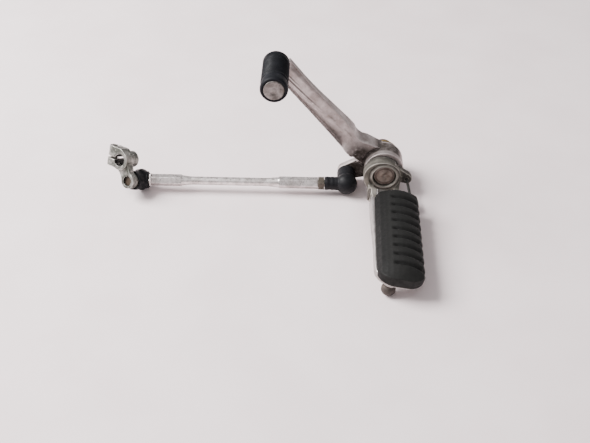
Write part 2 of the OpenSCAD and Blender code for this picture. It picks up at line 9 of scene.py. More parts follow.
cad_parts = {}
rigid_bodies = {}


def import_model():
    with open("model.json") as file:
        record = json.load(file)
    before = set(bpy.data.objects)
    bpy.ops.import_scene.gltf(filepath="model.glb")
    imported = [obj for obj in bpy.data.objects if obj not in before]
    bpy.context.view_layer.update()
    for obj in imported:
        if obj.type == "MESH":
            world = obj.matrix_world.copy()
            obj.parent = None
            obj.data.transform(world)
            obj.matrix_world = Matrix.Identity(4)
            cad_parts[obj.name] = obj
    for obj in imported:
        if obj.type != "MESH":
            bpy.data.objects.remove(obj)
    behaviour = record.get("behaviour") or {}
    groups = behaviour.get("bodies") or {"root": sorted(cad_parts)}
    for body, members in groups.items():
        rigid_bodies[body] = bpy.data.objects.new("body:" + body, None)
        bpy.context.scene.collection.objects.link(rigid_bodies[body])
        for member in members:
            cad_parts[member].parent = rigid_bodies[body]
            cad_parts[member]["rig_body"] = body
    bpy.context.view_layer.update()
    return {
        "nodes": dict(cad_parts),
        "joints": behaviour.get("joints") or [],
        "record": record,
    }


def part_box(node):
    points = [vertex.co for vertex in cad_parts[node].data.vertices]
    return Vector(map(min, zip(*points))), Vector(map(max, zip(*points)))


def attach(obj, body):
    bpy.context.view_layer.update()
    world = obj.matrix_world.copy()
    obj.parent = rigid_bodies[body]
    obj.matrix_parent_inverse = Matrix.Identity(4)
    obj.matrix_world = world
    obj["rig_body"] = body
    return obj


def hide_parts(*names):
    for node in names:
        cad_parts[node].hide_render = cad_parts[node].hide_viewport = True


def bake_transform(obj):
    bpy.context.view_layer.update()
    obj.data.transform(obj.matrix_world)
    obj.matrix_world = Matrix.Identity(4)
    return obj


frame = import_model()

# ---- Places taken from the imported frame, in metres. Other lengths below are in millimetres ----

MM = 0.001
JOINTS = {joint["name"]: joint for joint in frame["joints"]}


def joint_at(name):
    return Vector(JOINTS[name]["pos_m"])


def box_centre(node):
    low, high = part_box(node)
    return (low + high) / 2


pivot = joint_at("lever_pivot")
rear_ball = joint_at("rear_ball")
front_ball = joint_at("front_ball")
stud_axis = Vector(JOINTS["front_ball"]["axis"])

# The footrest's own frame: across, along (towards the frame) and out of the tread
peg_x = -Vector(JOINTS["footrest_fold"]["axis"])
peg_z = Vector((-peg_x.z, 0, peg_x.x)).normalized()
peg_y = peg_z.cross(peg_x)

# The toe arm's own frame: along, out of its front face and across to the lower left
toe_centre = box_centre("toe_pin")
toe_offset = Vector((toe_centre.x - pivot.x, 0, toe_centre.z - pivot.z))
toe_reach = toe_offset.length
arm_s = toe_offset.normalized()
arm_m = arm_s.cross(Vector((0, 1, 0)))


def peg_point(x, y, z):
    """A point of the footrest's frame, given in millimetres, in the row frame."""
    return pivot + (peg_x * x + peg_y * y + peg_z * z) * MM


def peg_coords(points):
    return (points - np.array(pivot)) @ np.array([peg_x, peg_y, peg_z]).T / MM


def arm_coords(points):
    return (points - np.array(pivot)) @ np.array([arm_s, (0, 1, 0), arm_m]).T / MM


def smooth_step(value, low, high):
    t = np.clip((value - low) / (high - low), 0, 1)
    return t * t * (3 - 2 * t)


def band(value, centre, width):
    """A smooth hump of height 1 at the centre."""
    return np.exp(-(((value - centre) / width) ** 2))


def along_stud(points):
    """Distance in millimetres from the front ball, out along its stud."""
    return (points - np.array(front_ball)) @ np.array(stud_axis) / MM


def from_stud_line(points, place):
    """Distance in millimetres from the line through the place along the front stud."""
    off = points - np.array(place)
    return np.linalg.norm(off - np.outer(off @ np.array(stud_axis), stud_axis), axis=1) / MM


def from_toe_axis(points):
    """Distance in millimetres from the toe peg's axis."""
    return np.hypot(points[:, 0] - toe_centre.x, points[:, 2] - toe_centre.z) / MM


def scaled(colour, times, plus=0.0):
    """A colour made lighter or darker, up to white."""
    return tuple(min(1.0, c * times + plus) for c in colour)


# ---- Meshes ----


def vertex_values(obj, key):
    values = np.zeros(len(obj.data.vertices) * 3)
    obj.data.vertices.foreach_get(key, values)
    return values.reshape(-1, 3)


def points_of(obj):
    return vertex_values(obj, "co")


def normals_of(obj):
    return vertex_values(obj, "normal")


def set_points(obj, points):
    obj.data.vertices.foreach_set("co", points.ravel())
    obj.data.update()


def mask(obj, name, values):
    """Stores a value for each vertex, which the materials read by name."""
    attribute = obj.data.attributes.new(name, "FLOAT", "POINT")
    attribute.data.foreach_set("value", np.asarray(values, np.float32))


def wobble(points, size, seed=0.0):
    """Smooth noise from -1 to 1 at each point, with bumps of that size in millimetres."""
    shift = Vector((seed, seed * 0.7, -seed))
    return np.array([noise.noise(Vector(p) / (size * MM) + shift) for p in points])


def shade_smooth(obj):
    for polygon in obj.data.polygons:
        polygon.use_smooth = True


def own(obj, node):
    """The piece stands for a CAD node and moves with that node's body."""
    shade_smooth(obj)
    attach(obj, frame["nodes"][node]["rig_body"])
    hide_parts(node)
    return obj


def rounded_copy(node, name, voxel, passes):
    """A fine even mesh of a CAD node with its edges rounded, as a casting or moulding has."""
    obj = bpy.data.objects.new(name, frame["nodes"][node].data.copy())
    bpy.context.scene.collection.objects.link(obj)
    weld = obj.modifiers.new("weld", "WELD")
    weld.merge_threshold = 1e-6
    remesh = obj.modifiers.new("remesh", "REMESH")
    remesh.mode = "VOXEL"
    remesh.voxel_size = voxel * MM
    soften = obj.modifiers.new("soften", "SMOOTH")
    soften.factor = 0.5
    soften.iterations = passes
    bpy.context.view_layer.update()
    graph = bpy.context.evaluated_depsgraph_get()
    made = bpy.data.meshes.new_from_object(obj.evaluated_get(graph))
    obj.modifiers.clear()
    obj.data = made
    made.name = name
    made.materials.clear()
    return obj


def mesh_object(name, vertices, faces):
    mesh = bpy.data.meshes.new(name)
    mesh.from_pydata([tuple(v) for v in vertices], [], faces)
    mesh.validate()
    obj = bpy.data.objects.new(name, mesh)
    bpy.context.scene.collection.objects.link(obj)
    return obj


def lathe(name, profile, centre, axis, steps=96):
    """A turned piece. The profile is a closed loop of (radius, distance along the axis) in mm."""
    axis = Vector(axis).normalized()
    side = axis.orthogonal().normalized()
    other = axis.cross(side)
    vertices, faces, count = [], [], len(profile)
    for k in range(steps):
        turn = 2 * math.pi * k / steps
        out = side * math.cos(turn) + other * math.sin(turn)
        vertices += [centre + (out * r + axis * h) * MM for r, h in profile]
    for k in range(steps):
        a, b = k * count, (k + 1) % steps * count
        for i in range(count):
            j = (i + 1) % count
            faces.append((a + i, a + j, b + j, b + i))
    obj = mesh_object(name, vertices, faces)
    clean(obj)
    return obj


def clean(obj):
    """Joins points on top of each other and turns the faces outwards."""
    work = bmesh.new()
    work.from_mesh(obj.data)
    bmesh.ops.remove_doubles(work, verts=work.verts, dist=1e-6)
    bmesh.ops.recalc_face_normals(work, faces=work.faces)
    work.to_mesh(obj.data)
    work.free()


def tube(name, path, radius, sides=20):
    """A round wire along a path, with rounded ends."""
    rings, normal = [], None
    for i, point in enumerate(path):
        ahead = path[min(i + 1, len(path) - 1)] - path[max(i - 1, 0)]
        ahead.normalize()
        if normal is None:
            normal = ahead.orthogonal()
        normal = (normal - ahead * normal.dot(ahead)).normalized()
        rings.append((point, ahead, normal, ahead.cross(normal), radius))
    first, last = rings[0], rings[-1]
    caps = ((0.95, 0.35), (0.7, 0.75), (0.3, 0.97))
    head = [
        (first[0] - first[1] * radius * out, *first[1:4], radius * r) for r, out in reversed(caps)
    ]
    tail = [(last[0] + last[1] * radius * out, *last[1:4], radius * r) for r, out in caps]
    rings = head + rings + tail
    vertices, faces = [], []
    for point, _, across, up, size in rings:
        for k in range(sides):
            turn = 2 * math.pi * k / sides
            vertices.append(point + (across * math.cos(turn) + up * math.sin(turn)) * size)
    for r in range(len(rings) - 1):
        for k in range(sides):
            a, b = r * sides + k, r * sides + (k + 1) % sides
            faces.append((a, b, b + sides, a + sides))
    faces.append(tuple(reversed(range(sides))))
    faces.append(tuple(range(len(vertices) - sides, len(vertices))))
    obj = mesh_object(name, vertices, faces)
    clean(obj)
    return obj


# ---- Materials ----

# Each reads two masks, one of grime and painted shade and one of painted light, which are 0 on a
# mesh without them


class Nodes:
    """Builds one node material."""

    def __init__(self, name):
        self.material = bpy.data.materials.new(name)
        self.material.use_nodes = True
        self.tree = self.material.node_tree
        self.tree.nodes.clear()
        self.out = self.add("OutputMaterial")
        self.shader = self.add("BsdfPrincipled")
        self.tree.links.new(self.shader.outputs[0], self.out.inputs[0])
        self.place = self.add("TexCoord").outputs["Object"]

    def add(self, kind, inputs=None, **settings):
        made = self.tree.nodes.new("ShaderNode" + kind)
        for key, value in settings.items():
            setattr(made, key, value)
        for key, value in (inputs or {}).items():
            self.put(made.inputs[key], value)
        return made

    def put(self, socket, value):
        if isinstance(value, bpy.types.NodeSocket):
            self.tree.links.new(value, socket)
        elif isinstance(value, tuple) and len(value) == 3 and socket.type == "RGBA":
            socket.default_value = (*value, 1)
        else:
            socket.default_value = value

    def noise(self, size, detail=4.0, rough=0.55, stretch=None, twist=0.0):
        """Noise with features of that size in millimetres."""
        place = self.place
        if stretch:
            place = self.add("Mapping", {"Vector": place, "Scale": stretch}).outputs[0]
        made = self.add(
            "TexNoise",
            {
                "Vector": place,
                "Scale": 1000 / size,
                "Detail": detail,
                "Roughness": rough,
                "Distortion": twist,
            },
        )
        return made.outputs["Fac"]

    def ramp(self, value, low, high, start=0.0, end=1.0):
        made = self.add(
            "MapRange",
            {"Value": value, "From Min": low, "From Max": high, "To Min": start, "To Max": end},
            interpolation_type="SMOOTHSTEP",
        )
        return made.outputs[0]

    def math(self, kind, a, b):
        return self.add("Math", {0: a, 1: b}, operation=kind).outputs[0]

    def mix(self, share, a, b):
        made = self.add("Mix", data_type="RGBA")
        self.put(made.inputs["Factor"], share)
        self.put(made.inputs[6], a)
        self.put(made.inputs[7], b)
        return made.outputs[2]

    def attribute(self, name):
        return self.add("Attribute", attribute_name=name).outputs["Fac"]

    def corner(self):
        """Above one half on outward edges and below it in hollows."""
        return self.add("NewGeometry").outputs["Pointiness"]

    def bump(self, height, strength, distance, under=None):
        inputs = {"Height": height, "Strength": strength, "Distance": distance * MM}
        if under is not None:
            inputs["Normal"] = under
        return self.add("Bump", inputs).outputs[0]

    def finish(self, colour, roughness, normal, metallic, specular=0.5):
        for key, value in (
            ("Base Color", colour),
            ("Roughness", roughness),
            ("Normal", normal),
            ("Metallic", metallic),
            ("Specular IOR Level", specular),
        ):
            self.put(self.shader.inputs[key], value)
        return self.material


def cast_metal(name, light, dark, grime_and_painted_shade, rough=0.5, metal=0.75, grain=0.6, edge=0.25, stains=0.5):
    """Cast or rolled metal with blotches and scuffs, bright edges that are partly wear and partly
    painted highlight, grime and painted shade in the hollows, and painted light where a mask asks.
    """
    n = Nodes(name)
    blotch = n.ramp(n.noise(9, 5, 0.6), 0.35, 0.68)
    colour = n.mix(blotch, dark, light)
    mottle = n.ramp(n.noise(2.2, 6, 0.7), 0.35, 0.7)
    colour = n.mix(n.math("MULTIPLY", mottle, 0.35), colour, dark)
    # Painted light: lighter where the mask of painted light asks
    colour = n.mix(n.attribute("painted_light"), colour, scaled(light, 1.7))
    stain = n.math("MULTIPLY", n.ramp(n.noise(5.5, 8, 0.72, twist=0.6), 0.52, 0.72), stains)
    colour = n.mix(stain, colour, grime_and_painted_shade)
    # Grime and painted shade: darker where that mask asks
    uneven = n.ramp(n.noise(3.5, 6, 0.7), 0.2, 0.6, 0.55, 1.0)
    dirt_and_painted_shade = n.math("MULTIPLY", n.attribute("grime_and_painted_shade"), uneven)
    colour = n.mix(dirt_and_painted_shade, colour, scaled(grime_and_painted_shade, 0.16))
    scuff = n.ramp(n.noise(0.7, 3, 0.5, stretch=(0.16, 1.0, 0.24)), 0.62, 0.74)
    colour = n.mix(n.math("MULTIPLY", scuff, 0.3), colour, scaled(light, 1.3))
    # Bright convex edges, partly wear and partly a painted highlight
    rim = n.math("MULTIPLY", n.ramp(n.corner(), 0.508, 0.555), edge)
    colour = n.mix(rim, colour, scaled(light, 1.45, 0.06))
    roughness = n.ramp(n.noise(3, 5, 0.6), 0.3, 0.7, rough - 0.1, rough + 0.12)
    roughness = n.math("ADD", roughness, n.math("MULTIPLY", dirt_and_painted_shade, 0.25))
    fine = n.bump(n.noise(grain, 5, 0.65), 0.35, 0.12)
    coarse = n.bump(n.noise(4, 3, 0.5), 0.3, 0.35, fine)
    metallic = n.math("SUBTRACT", metal, n.math("MULTIPLY", dirt_and_painted_shade, metal * 0.8))
    return n.finish(colour, roughness, coarse, metallic)


def turned_metal(name, light, dark, stain, rough=0.35, metal=0.9, along=(0.05, 1, 1), stains=0.5):
    """Machined and plated steel with fine tool marks, scratches and stains."""
    n = Nodes(name)
    colour = n.mix(n.ramp(n.noise(6, 5, 0.65), 0.35, 0.65), dark, light)
    spots = n.math("MULTIPLY", n.ramp(n.noise(2.6, 8, 0.75), 0.55, 0.72), stains)
    colour = n.mix(spots, colour, stain)
    marks = n.noise(0.45, 3, 0.5, stretch=along)
    colour = n.mix(n.ramp(marks, 0.55, 0.72, 0.0, 0.35), colour, scaled(light, 1.25))
    # Grime and painted shade: darker where that mask asks
    dirt_and_painted_shade = n.attribute("grime_and_painted_shade")
    colour = n.mix(dirt_and_painted_shade, colour, scaled(stain, 0.2))
    roughness = n.ramp(n.noise(2, 5, 0.7), 0.3, 0.7, rough - 0.08, rough + 0.18)
    normal = n.bump(marks, 0.25, 0.06, n.bump(n.noise(1.6, 4, 0.6), 0.25, 0.1))
    metallic = n.math("SUBTRACT", metal, n.math("MULTIPLY", dirt_and_painted_shade, metal))
    return n.finish(colour, roughness, normal, metallic)


def rubber(name, base, dust, rough=0.55, grain=0.35, dusty=0.5, specular=0.4):
    """Aged rubber with a fine grain and dust that lies unevenly."""
    n = Nodes(name)
    patch = n.math("MULTIPLY", n.ramp(n.noise(7, 7, 0.7), 0.38, 0.72), dusty)
    worn = n.math("MULTIPLY", n.ramp(n.corner(), 0.5, 0.58), dusty)
    colour = n.mix(n.math("MAXIMUM", patch, worn), base, dust)
    speck = n.ramp(n.noise(0.5, 3, 0.6), 0.66, 0.76, 0.0, 0.3)
    colour = n.mix(speck, colour, scaled(dust, 2.2))
    # Grime and painted shade: darker where that mask asks
    colour = n.mix(n.attribute("grime_and_painted_shade"), colour, scaled(base, 0.35))
    roughness = n.ramp(n.noise(3, 5, 0.6), 0.3, 0.7, rough - 0.08, rough + 0.16)
    normal = n.bump(n.noise(grain, 4, 0.6), 0.35, 0.07, n.bump(n.noise(5, 3, 0.5), 0.25, 0.25))
    return n.finish(colour, roughness, normal, 0.0, specular)


LOOKS = {
    "lever_alloy": cast_metal(
        "lever_alloy", (0.47, 0.42, 0.41), (0.28, 0.24, 0.23), (0.12, 0.075, 0.05), edge=0.55
    ),
    "cast_alloy": cast_metal(
        "cast_alloy",
        (0.25, 0.232, 0.205),
        (0.115, 0.108, 0.092),
        (0.06, 0.047, 0.034),
        edge=0.9,
        metal=0.6,
    ),
    "arm_alloy": cast_metal(
        "arm_alloy",
        (0.36, 0.35, 0.325),
        (0.085, 0.088, 0.075),
        (0.03, 0.03, 0.022),
        edge=1.0,
        grain=0.5,
        stains=1.0,
        rough=0.38,
    ),
    "tray_alloy": cast_metal(
        "tray_alloy", (0.48, 0.45, 0.44), (0.28, 0.26, 0.25), (0.14, 0.12, 0.1), edge=0.7, rough=0.4
    ),
    "feeler_steel": cast_metal(
        "feeler_steel",
        (0.068, 0.052, 0.046),
        (0.034, 0.026, 0.022),
        (0.08, 0.04, 0.025),
        rough=0.65,
        metal=0.3,
        edge=0.4,
    ),
    "shaft_steel": turned_metal(
        "shaft_steel",
        (0.40, 0.33, 0.29),
        (0.22, 0.17, 0.145),
        (0.16, 0.075, 0.05),
        rough=0.4,
        metal=0.7,
        along=(1, 1, 1),
    ),
    "zinc_yellow": turned_metal(
        "zinc_yellow", (0.62, 0.42, 0.08), (0.4, 0.26, 0.05), (0.2, 0.13, 0.06)
    ),
    "spring_steel": turned_metal(
        "spring_steel",
        (0.03, 0.028, 0.026),
        (0.015, 0.014, 0.013),
        (0.05, 0.03, 0.02),
        rough=0.5,
        metal=0.5,
    ),
    "pin_steel": turned_metal(
        "pin_steel", (0.24, 0.22, 0.2), (0.12, 0.108, 0.096), (0.1, 0.06, 0.04), rough=0.45
    ),
    "joint_steel": turned_metal(
        "joint_steel", (0.45, 0.42, 0.37), (0.26, 0.235, 0.19), (0.16, 0.1, 0.05)
    ),
    "rod_steel": turned_metal(
        "rod_steel",
        (0.78, 0.73, 0.72),
        (0.47, 0.43, 0.415),
        (0.17, 0.13, 0.105),
        rough=0.3,
        along=(0.06, 1, 1),
    ),
    "toe_alloy": turned_metal(
        "toe_alloy",
        (0.27, 0.245, 0.237),
        (0.11, 0.098, 0.09),
        (0.06, 0.048, 0.04),
        rough=0.4,
        along=(1, 1, 0.2),
        stains=0.9,
    ),
    "nut_tarnished": turned_metal(
        "nut_tarnished",
        (0.074, 0.061, 0.048),
        (0.035, 0.029, 0.022),
        (0.03, 0.02, 0.014),
        rough=0.5,
        metal=0.5,
    ),
    "bolt_steel": turned_metal(
        "bolt_steel", (0.1, 0.09, 0.08), (0.05, 0.045, 0.04), (0.06, 0.035, 0.02), rough=0.5
    ),
    "bush_bronze": turned_metal(
        "bush_bronze", (0.5, 0.36, 0.17), (0.38, 0.26, 0.11), (0.2, 0.12, 0.05)
    ),
    "pad_rubber": rubber(
        "pad_rubber",
        (0.007, 0.007, 0.0066),
        (0.016, 0.0155, 0.015),
        rough=0.6,
        dusty=0.35,
        specular=0.2,
    ),
    "toe_rubber": rubber(
        "toe_rubber",
        (0.004, 0.0044, 0.006),
        (0.013, 0.0137, 0.0168),
        rough=0.5,
        dusty=0.8,
        specular=0.1,
    ),
    "boot_rubber": rubber(
        "boot_rubber",
        (0.006, 0.0062, 0.0075),
        (0.013, 0.0128, 0.0145),
        rough=0.45,
        dusty=0.4,
        specular=0.13,
    ),
    "seal_rubber": rubber("seal_rubber", (0.01, 0.01, 0.011), (0.02, 0.018, 0.016), rough=0.6),
    "race_nylon": rubber("race_nylon", (0.5, 0.46, 0.36), (0.3, 0.26, 0.18), rough=0.4, dusty=0.4),
}
SLOT_OF = {part["node"]: part["material_slot"] for part in frame["record"]["subparts"]}

for node, obj in frame["nodes"].items():
    obj.data.materials.clear()
    obj.data.materials.append(LOOKS[SLOT_OF[node]])


def dress(obj, node):
    """Gives the piece its slot's material and lets it stand for the node."""
    obj.data.materials.clear()
    obj.data.materials.append(LOOKS[SLOT_OF[node]])
    return own(obj, node)


def cast(node, name, voxel, passes, rough_cast=0.0, size=3.0):
    """A rounded copy with the slightly uneven skin of a casting."""
    obj = rounded_copy(node, name, voxel, passes)
    if rough_cast:
        points = points_of(obj)
        lift = wobble(points, size, len(name)) * rough_cast * MM
        set_points(obj, points + normals_of(obj) * lift[:, None])
    return obj


# ---- Lever ----

hub_r = 16.0
arm_from, arm_to = 30, toe_reach / MM - 12
facet_slope, edge_slope = 0.55, 0.7
root_at, root_deep = 28, 2.8

lever = cast("lever", "lever_casting", 0.5, 4, 0.07, 6.0)
points = points_of(lever)
normals = normals_of(lever)
s, _, m = arm_coords(points).T
around = (points - np.array(pivot)) / MM
from_axis = np.hypot(around[:, 0], around[:, 2])
facing = smooth_step(-normals[:, 1], 0.3, 0.8)
on_arm = smooth_step(s, arm_from, arm_from + 14) * (1 - smooth_step(s, arm_to, arm_to + 6))

# Two facets meet at a ridge along the arm's front face, with casting lines beside it
ridge_m = 2.2 + 1.6 * smooth_step(s, 40, 90)
lower_facet = np.clip(m - ridge_m, 0, None) * facet_slope
upper_edge = np.clip(-4.6 - m, 0, None) * edge_slope
groove = band(m, ridge_m - 1.0, 0.6) * smooth_step(s, 66, 100)
second = band(m, ridge_m - 3.2, 0.45) * smooth_step(s, 98, 112)
root = root_deep * band(s, root_at, 15) * smooth_step(from_axis, 16.2, 19.5) * (np.abs(m) < 15)
push = (lower_facet + upper_edge + 0.6 * groove + 0.4 * second) * on_arm - root
points[:, 1] += push * MM * facing
set_points(lever, points)

# Painted shade in the crease around the hub, on the short arm's front face and on the arm's face at
# the root; grime in the casting lines
turn = np.degrees(np.arctan2(around[:, 2], around[:, 0])) % 360
width = 1.0 + 8.0 * smooth_step(turn, 55, 175)
past_hub = from_axis - hub_r
crease = 1 - smooth_step(past_hub, 0, 1) * smooth_step(past_hub, 0.3 * width, width)
crease *= smooth_step(turn, 25, 50) * (1 - smooth_step(turn, 290, 330))
crease *= smooth_step(from_axis, 15.2, 15.9) * smooth_step(around[:, 1], -10.2, -6.5)
ball_turn = math.degrees(math.atan2(rear_ball.z - pivot.z, rear_ball.x - pivot.x)) % 360
# Painted shade on the short arm's front face
short_face = smooth_step(-normals[:, 1], 0.4, 0.8) * smooth_step(from_axis, 15, 17)
short_face *= 1 - smooth_step(np.abs(turn - ball_turn - 6), 22, 30)
crack = np.maximum(groove, second) * on_arm * facing * 0.85
seam = band(m, -4.4, 0.5) * on_arm * facing * 0.35
patches = smooth_step(wobble(points, 9, 4), 0.0, 0.35)
flecks = band(m, ridge_m - 0.8, 0.9) * on_arm * facing * patches * 0.45
# Painted shade on the arm's face near the hub
painted_root_shade = smooth_step(turn, 60, 110) * (1 - smooth_step(turn, 170, 190))
painted_root_shade *= (1 - smooth_step(from_axis, 18, 44)) * smooth_step(m, -9, 7)
painted_root_shade = np.clip(painted_root_shade * facing * 1.35, 0, 1)
grime_and_shade_marks = [crease * 0.95, short_face, crack, seam, flecks, painted_root_shade]
mask(lever, "grime_and_painted_shade", np.maximum.reduce(grime_and_shade_marks))
# Painted light: the arm's lower facet made lighter, as if lit
low_face = smooth_step(m, ridge_m + 0.5, ridge_m + 2.5) * smooth_step(s, 40, 60)
mask(lever, "painted_light", 0.4 * low_face * facing * on_arm)
dress(lever, "lever")

# ---- Toe peg ----

toe_low, toe_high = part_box("toe_rubber")
toe_end = Vector((toe_centre.x, toe_low.y, toe_centre.z))
toe_len = (toe_high.y - toe_low.y) / MM
toe_r = (toe_high.x - toe_low.x) / 2 / MM
cap_low, cap_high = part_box("toe_pin")
cap_r = (cap_high.x - cap_low.x) / 2 / MM
cap_rise = (toe_low.y - cap_low.y) / MM

pin_r = 4.5
cap_deep = 3.0
rib_from, rib_to, ribs, rib_steps = toe_len - 5.0, 12.6, 14, 8
rib_deep = 0.6

profile = [(pin_r, toe_len), (toe_r - 1.1, toe_len)]
profile += [(toe_r - 0.35, toe_len - 0.5), (toe_r - 0.1, toe_len - 1.4)]
for k in range(ribs * rib_steps + 1):
    along = rib_from + (rib_to - rib_from) * k / (ribs * rib_steps)
    dip = 0.5 - 0.5 * math.cos(2 * math.pi * k / rib_steps)
    profile.append((toe_r - 0.75 + rib_deep * dip, along))
collar = ((12.0, 0.5), (11.4, 0.1), (10.7, 0.0), (10.0, 0.15), (9.6, 0.6), (9.1, 0.75), (8.5, 0.55))
rim = ((6.0, 0.25), (3.0, 0.05), (1.4, 0.15), (0.55, 0.5), (0.12, 1.0), (0.0, 1.5))
profile += [(toe_r - inset, along) for along, inset in collar + rim]
profile += [(cap_r + 0.25, 0.25), (cap_r + 0.05, 0.7)]
profile += [(cap_r + 0.05, cap_deep + 0.05), (pin_r, cap_deep + 0.05)]
toe_sleeve = lathe("toe_sleeve", profile, toe_end, (0, 1, 0), 128)
points = points_of(toe_sleeve)
lift = wobble(points, 7, 3) * 0.12 * MM
set_points(toe_sleeve, points + normals_of(toe_sleeve) * lift[:, None])
ribbed = smooth_step(points[:, 1] / MM, toe_end.y / MM + 9, toe_end.y / MM + 11)
valley = 1 - smooth_step(from_toe_axis(points), toe_r - 0.72, toe_r - 0.35)
mask(toe_sleeve, "grime_and_painted_shade", ribbed * valley * 0.9)
dress(toe_sleeve, "toe_rubber")

pin_end = toe_len + 5.9
profile = [(0.0, 0.3 - cap_rise), (2.2, 0.28 - cap_rise), (2.5, 0.42 - cap_rise)]
profile += [(2.8, 0.26 - cap_rise), (cap_r - 1.2, 0.1 - cap_rise), (cap_r - 0.5, 0.12 - cap_rise)]
profile += [(cap_r - 0.12, 0.05), (cap_r, 0.6), (cap_r, cap_deep), (pin_r, cap_deep)]
profile += [(pin_r, pin_end - 0.7), (pin_r - 0.6, pin_end), (0.0, pin_end)]
toe_cap = lathe("toe_cap", profile, toe_end, (0, 1, 0))
points = points_of(toe_cap)
swirl = 0.5 + 0.5 * np.sin(from_toe_axis(points) * 5.2 + wobble(points, 6, 8) * 3)
mask(toe_cap, "grime_and_painted_shade", 0.45 * swirl * smooth_step(wobble(points, 3, 6), -0.3, 0.4))
dress(toe_cap, "toe_pin")

# ---- Footrest holder, shaft and hinge ----

ridge_r, furrow_r = 10.3, 12.1

holder = cast("peg_holder", "footrest_holder", 0.4, 3, 0.08, 3.5)
points = points_of(holder)
around = (points - np.array(pivot)) / MM
radius = np.hypot(around[:, 0], around[:, 2])
facing = smooth_step(-normals_of(holder)[:, 1], 0.5, 0.9) * (around[:, 1] < -20)
ring = 0.55 * band(radius, ridge_r, 0.6) - 0.6 * band(radius, furrow_r, 0.75)
points[:, 1] -= ring * facing * MM
set_points(holder, points)
holder_y = peg_coords(points)[:, 1]
hollow = (1 - smooth_step(radius, 8.6, 10.0)) * 0.9 * (holder_y > -24)
furrow = band(radius, furrow_r, 0.6) * facing * 0.6
low_back = smooth_step(around[:, 1], -19, -14) * 0.75
lug_side = smooth_step(around[:, 0], 13, 16) * 0.8
mask(holder, "grime_and_painted_shade", np.clip(np.maximum.reduce([hollow, furrow, low_back, lug_side]), 0, 1))
# Painted light on the holder's end towards the footrest hinge
mask(holder, "painted_light", smooth_step(-holder_y, 23.2, 25.5) * 0.75)
dress(holder, "peg_holder")

shaft_low, shaft_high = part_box("pivot_shaft")
head = Vector((pivot.x, shaft_low.y, pivot.z))
shaft_len = (shaft_high.y - shaft_low.y) / MM
head_r, neck_r, shaft_r, groove_r = 8.6, 6.95, 8.5, 7.7
thread_r, thread_deep = 4.25, 14
neck_back, ring_from, ring_to = 8.2, shaft_len - 9.4, shaft_len - 8.2
face_steps = 48

profile = [(0.0, 1.5), (0.5, 1.3), (1.6, 0.45), (2.1, 0.3)]
for k in range(face_steps + 1):
    r = 2.4 + (head_r - 3.4) * k / face_steps
    ring = 0.5 - 0.5 * math.cos(2 * math.pi * k / 6)
    profile.append((r, 0.32 - 0.16 * ring - 0.1 * smooth_step(r, 4.5, 6.5)))
profile += [(head_r - 0.75, 0.02), (head_r - 0.3, 0.18), (head_r, 0.6), (head_r, 2.25)]
profile += [(neck_r, 2.3), (neck_r, neck_back - 0.1), (shaft_r, neck_back)]
profile += [(shaft_r, ring_from), (groove_r, ring_from), (groove_r, ring_to), (shaft_r, ring_to)]
profile += [(shaft_r, shaft_len - 0.8), (7.9, shaft_len), (4.9, shaft_len)]
profile += [(thread_r, shaft_len - 0.6), (thread_r, shaft_len - thread_deep)]
profile += [(0.0, shaft_len - thread_deep)]
shaft = lathe("pivot_shaft_turned", profile, head, (0, 1, 0))
points = points_of(shaft)
around = (points - np.array(pivot)) / MM
radius = np.hypot(around[:, 0], around[:, 2])
face = around[:, 1] < (shaft_low.y - pivot.y) / MM + 1.2
rusty = face * band(radius, 7.0, 0.8) * 0.75
mask(shaft, "grime_and_painted_shade", np.maximum(rusty, smooth_step(around[:, 1], 6, 9) * 0.85))
dress(shaft, "pivot_shaft")

# Each row: node, name, voxel in millimetres and passes of smoothing
SMALL_PIECES = (
    ("footrest_pin", "fold_pin", 0.25, 2),
    ("pin_washer", "fold_pin_washer", 0.18, 2),
    ("split_pin", "fold_split_pin", 0.12, 3),
    ("thrust_washer", "hub_washer", 0.22, 2),
    ("snap_ring", "hub_snap_ring", 0.18, 1),
    ("outer_seal", "hub_outer_seal", 0.25, 2),
    ("inner_seal", "hub_inner_seal", 0.25, 2),
    ("rear_ball_stud", "rear_stud", 0.22, 2),
    ("front_ball_stud", "front_stud", 0.2, 2),
    ("rear_rod_end", "rear_socket", 0.25, 2),
    ("front_rod_end", "front_socket", 0.22, 2),
    ("rear_lock_nut", "rear_nut", 0.16, 3),
    ("front_lock_nut", "front_nut", 0.14, 3),
    ("tie_rod", "tie_rod_bar", 0.3, 5),
    ("pad_bolts", "pad_screws", 0.18, 3),
    ("pinch_bolt", "pinch_screw", 0.16, 2),
)
HINGE_PIECES = ("pin_washer", "split_pin", "footrest_pin")
hinge_grime = 0.7
split_pin_shrink = 0.14

for node, name, voxel, passes in SMALL_PIECES:
    piece = cast(node, name, voxel, passes)
    points = points_of(piece)
    dirt_and_painted_shade = np.full(len(points), hinge_grime if node in HINGE_PIECES else 0.0)
    if node == "split_pin":
        # Smaller, so that the folded tray's rounded copy clears it
        set_points(piece, points + (points.mean(axis=0) - points) * split_pin_shrink)
    # Painted shade on the stud's end, deep in the arm's boss
    if node == "front_ball_stud":
        dirt_and_painted_shade = smooth_step(along_stud(points), 12, 13)
    mask(piece, "grime_and_painted_shade", dirt_and_painted_shade)
    dress(piece, node)

# ---- Return spring: a helix on the pin with one leg in the lug and one under the footrest ----

coil_r, wire_r, turns = 4.9, 1.15, 2.5
coil_pitch = 2.15
coil_x = 15.3 + wire_r
tray_under = -8.5
push_len, push_steps, coil_steps, leg_steps = 11, 12, 120, 24
lug_place = pivot + Vector((18.6, -16.25, -4.8)) * MM

fold_at = peg_coords(np.array([joint_at("footrest_fold")]))[0]
bottom_z = fold_at[2] - coil_r
push_rise = tray_under - 0.2 - wire_r - bottom_z

